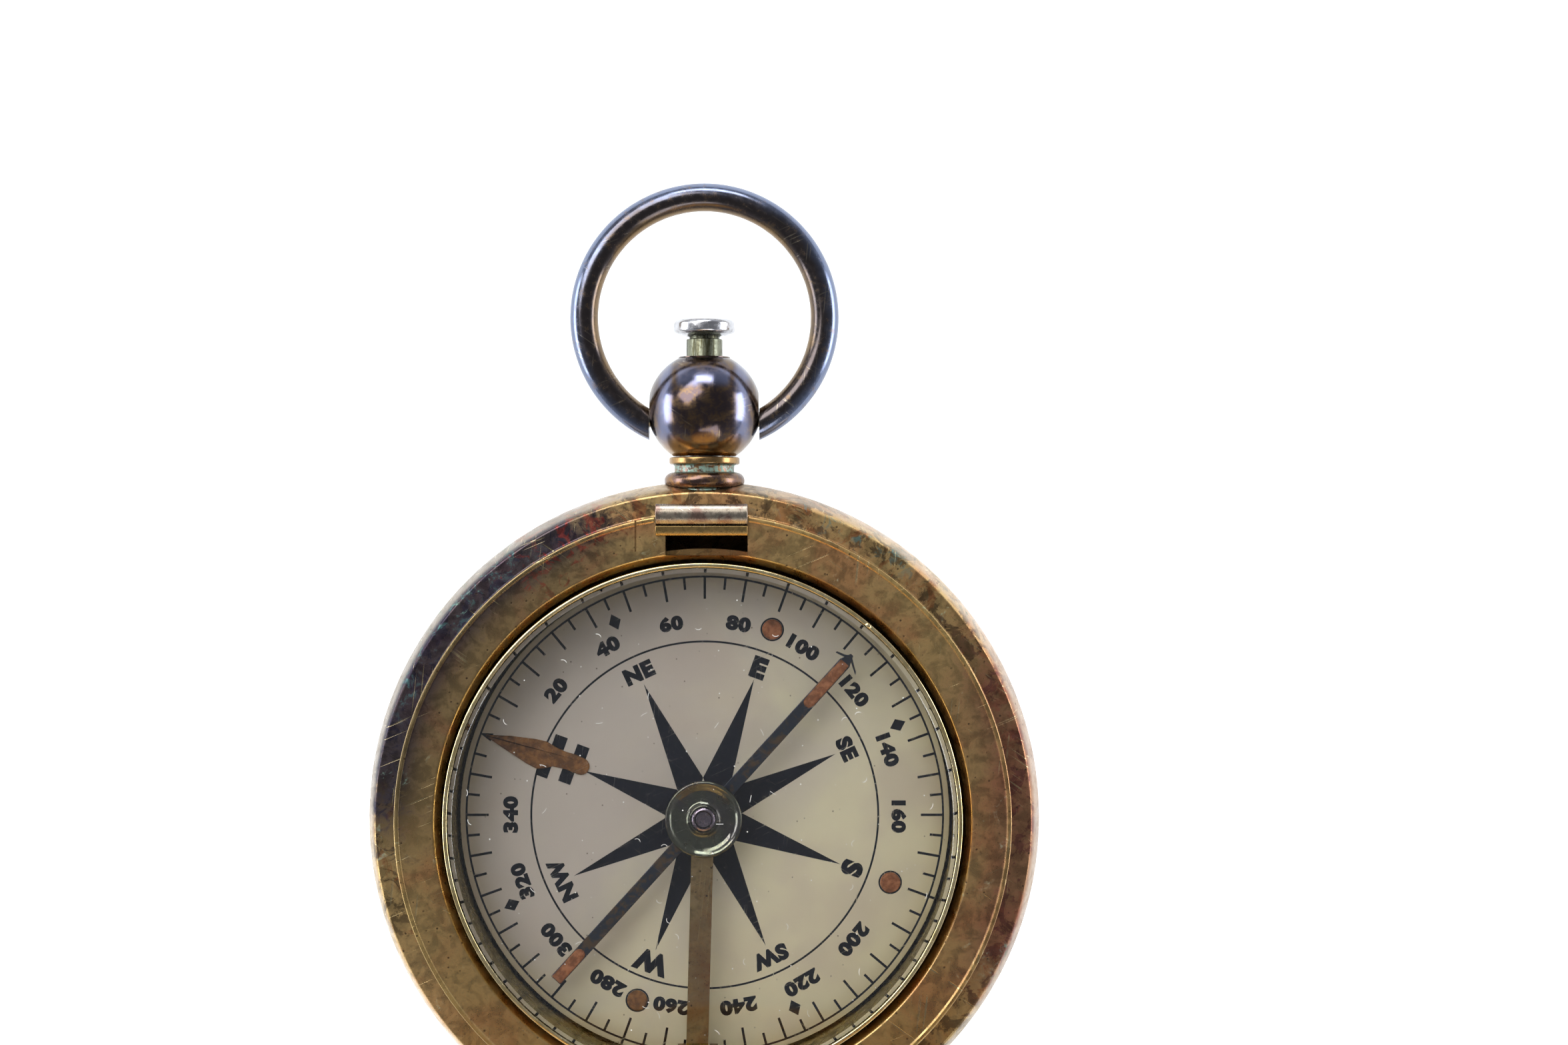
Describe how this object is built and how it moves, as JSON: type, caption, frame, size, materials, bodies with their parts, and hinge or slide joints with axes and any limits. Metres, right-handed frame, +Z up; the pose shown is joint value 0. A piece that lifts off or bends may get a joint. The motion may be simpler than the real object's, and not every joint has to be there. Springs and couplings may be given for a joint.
{
  "type": "pocket compass",
  "caption": "Brass hunter-case pocket compass with hinged lid, push-button latch, bow, printed dial, luminous needle and lid-worked needle arrest.",
  "frame": {"origin": "centre of the flat part of the back, which the case rests on", "axes": "+Z up out of the dial, +Y towards the pendant and bow at 12 o'clock, +X to the right at 3 o'clock"},
  "size_m": [0.0516, 0.0811, 0.0605],
  "materials": {
    "brass": "worn, olive-brown patina",
    "dark_bronze": "dark, half-polished",
    "nickel": "worn nickel plate",
    "steel": "dull",
    "blued_steel": "blued, satin",
    "dial_print": "printed, aged matt",
    "luminous_paint": "browned matt paint",
    "glass": "clear"
  },
  "bodies": {
    "case": {"case_ring": "brass", "case_back": "brass", "chamber_cup": "brass", "chamber_seat": "brass", "crystal_bezel": "nickel", "crystal": "glass", "dial_washer": "brass", "pivot_post": "steel", "pendant_collar": "brass", "pendant_ball": "dark_bronze", "pendant_tube": "steel", "hinge_knuckle_left": "brass", "hinge_knuckle_right": "brass", "hinge_pin": "steel", "lid_spring": "steel", "lid_spring_screw": "steel", "latch_spring": "steel", "latch_spring_screw": "steel", "lifter_lug_left": "brass", "lifter_lug_right": "brass", "lifter_pin": "steel"},
    "lid": {"lid_shell": "brass", "lid_rim": "brass", "lid_presser": "brass", "lid_knuckle": "brass"},
    "button": {"button_head": "nickel", "button_stem": "steel"},
    "latch": {"latch_head": "nickel", "latch_plate": "steel", "latch_boss": "steel"},
    "needle_bearing": {"needle_jewel": "steel"},
    "needle": {"needle_bar": "blued_steel", "needle_neck": "brass", "needle_cap": "brass", "needle_boss": "steel", "needle_paint_north": "luminous_paint", "needle_paint_south": "luminous_paint"},
    "lifter": {"lifter_arm": "brass"},
    "stud": {"lifter_stud": "steel"},
    "dial": {"dial_card": "dial_print", "dial_collet": "brass", "dial_arrow": "luminous_paint", "dial_dot_east": "luminous_paint", "dial_dot_south": "luminous_paint", "dial_dot_west": "luminous_paint"},
    "bow": {"bow_ring": "dark_bronze", "bow_pivot_left": "steel", "bow_pivot_right": "steel"}
  },
  "joints": [
    {"name": "lid_hinge", "type": "hinge", "parent": "case", "child": "lid", "pos_m": [0, -0.0263, 0.0092], "axis": [1, 0, 0], "range_deg": [-90, 0], "stiffness_Nm_per_rad": 0.008, "springref_deg": 20.05},
    {"name": "button_press", "type": "slide", "parent": "case", "child": "button", "axis": [0, -1, 0], "range_m": [0, 0.0012], "stiffness_N_per_m": 600, "springref_m": -0.001},
    {"name": "latch_slide", "type": "slide", "parent": "case", "child": "latch", "axis": [0, -1, 0], "range_m": [0, 0.0012]},
    {"name": "needle_lift", "type": "slide", "parent": "case", "child": "needle_bearing", "axis": [0, 0, 1], "range_m": [0, 0.00125]},
    {"name": "needle_spin", "type": "hinge", "parent": "needle_bearing", "child": "needle", "pos_m": [0, 0, 0.0075], "axis": [0, 0, 1], "continuous": true},
    {"name": "lifter_lift", "type": "hinge", "parent": "case", "child": "lifter", "pos_m": [-0.0005, -0.0183, 0.0063], "axis": [1, 0, 0], "range_deg": [0, 4.5]},
    {"name": "stud_press", "type": "slide", "parent": "case", "child": "stud", "axis": [0, 0, -1], "range_m": [0, 0.00028]},
    {"name": "dial_turn", "type": "hinge", "parent": "case", "child": "dial", "pos_m": [0, 0, 0.005], "axis": [0, 0, 1], "continuous": true},
    {"name": "bow_swing", "type": "hinge", "parent": "case", "child": "bow", "pos_m": [0, 0.03067, 0.00625], "axis": [1, 0, 0], "range_deg": [-110, 110]}
  ],
  "couplings": [
    {"joint": "latch_slide", "follows": "button_press", "ratio": 1},
    {"joint": "needle_lift", "follows": "lid_hinge", "m_per_rad": -0.00079498},
    {"joint": "lifter_lift", "follows": "lid_hinge", "ratio": -0.04995},
    {"joint": "stud_press", "follows": "lid_hinge", "m_per_rad": -0.00017808}
  ]
}
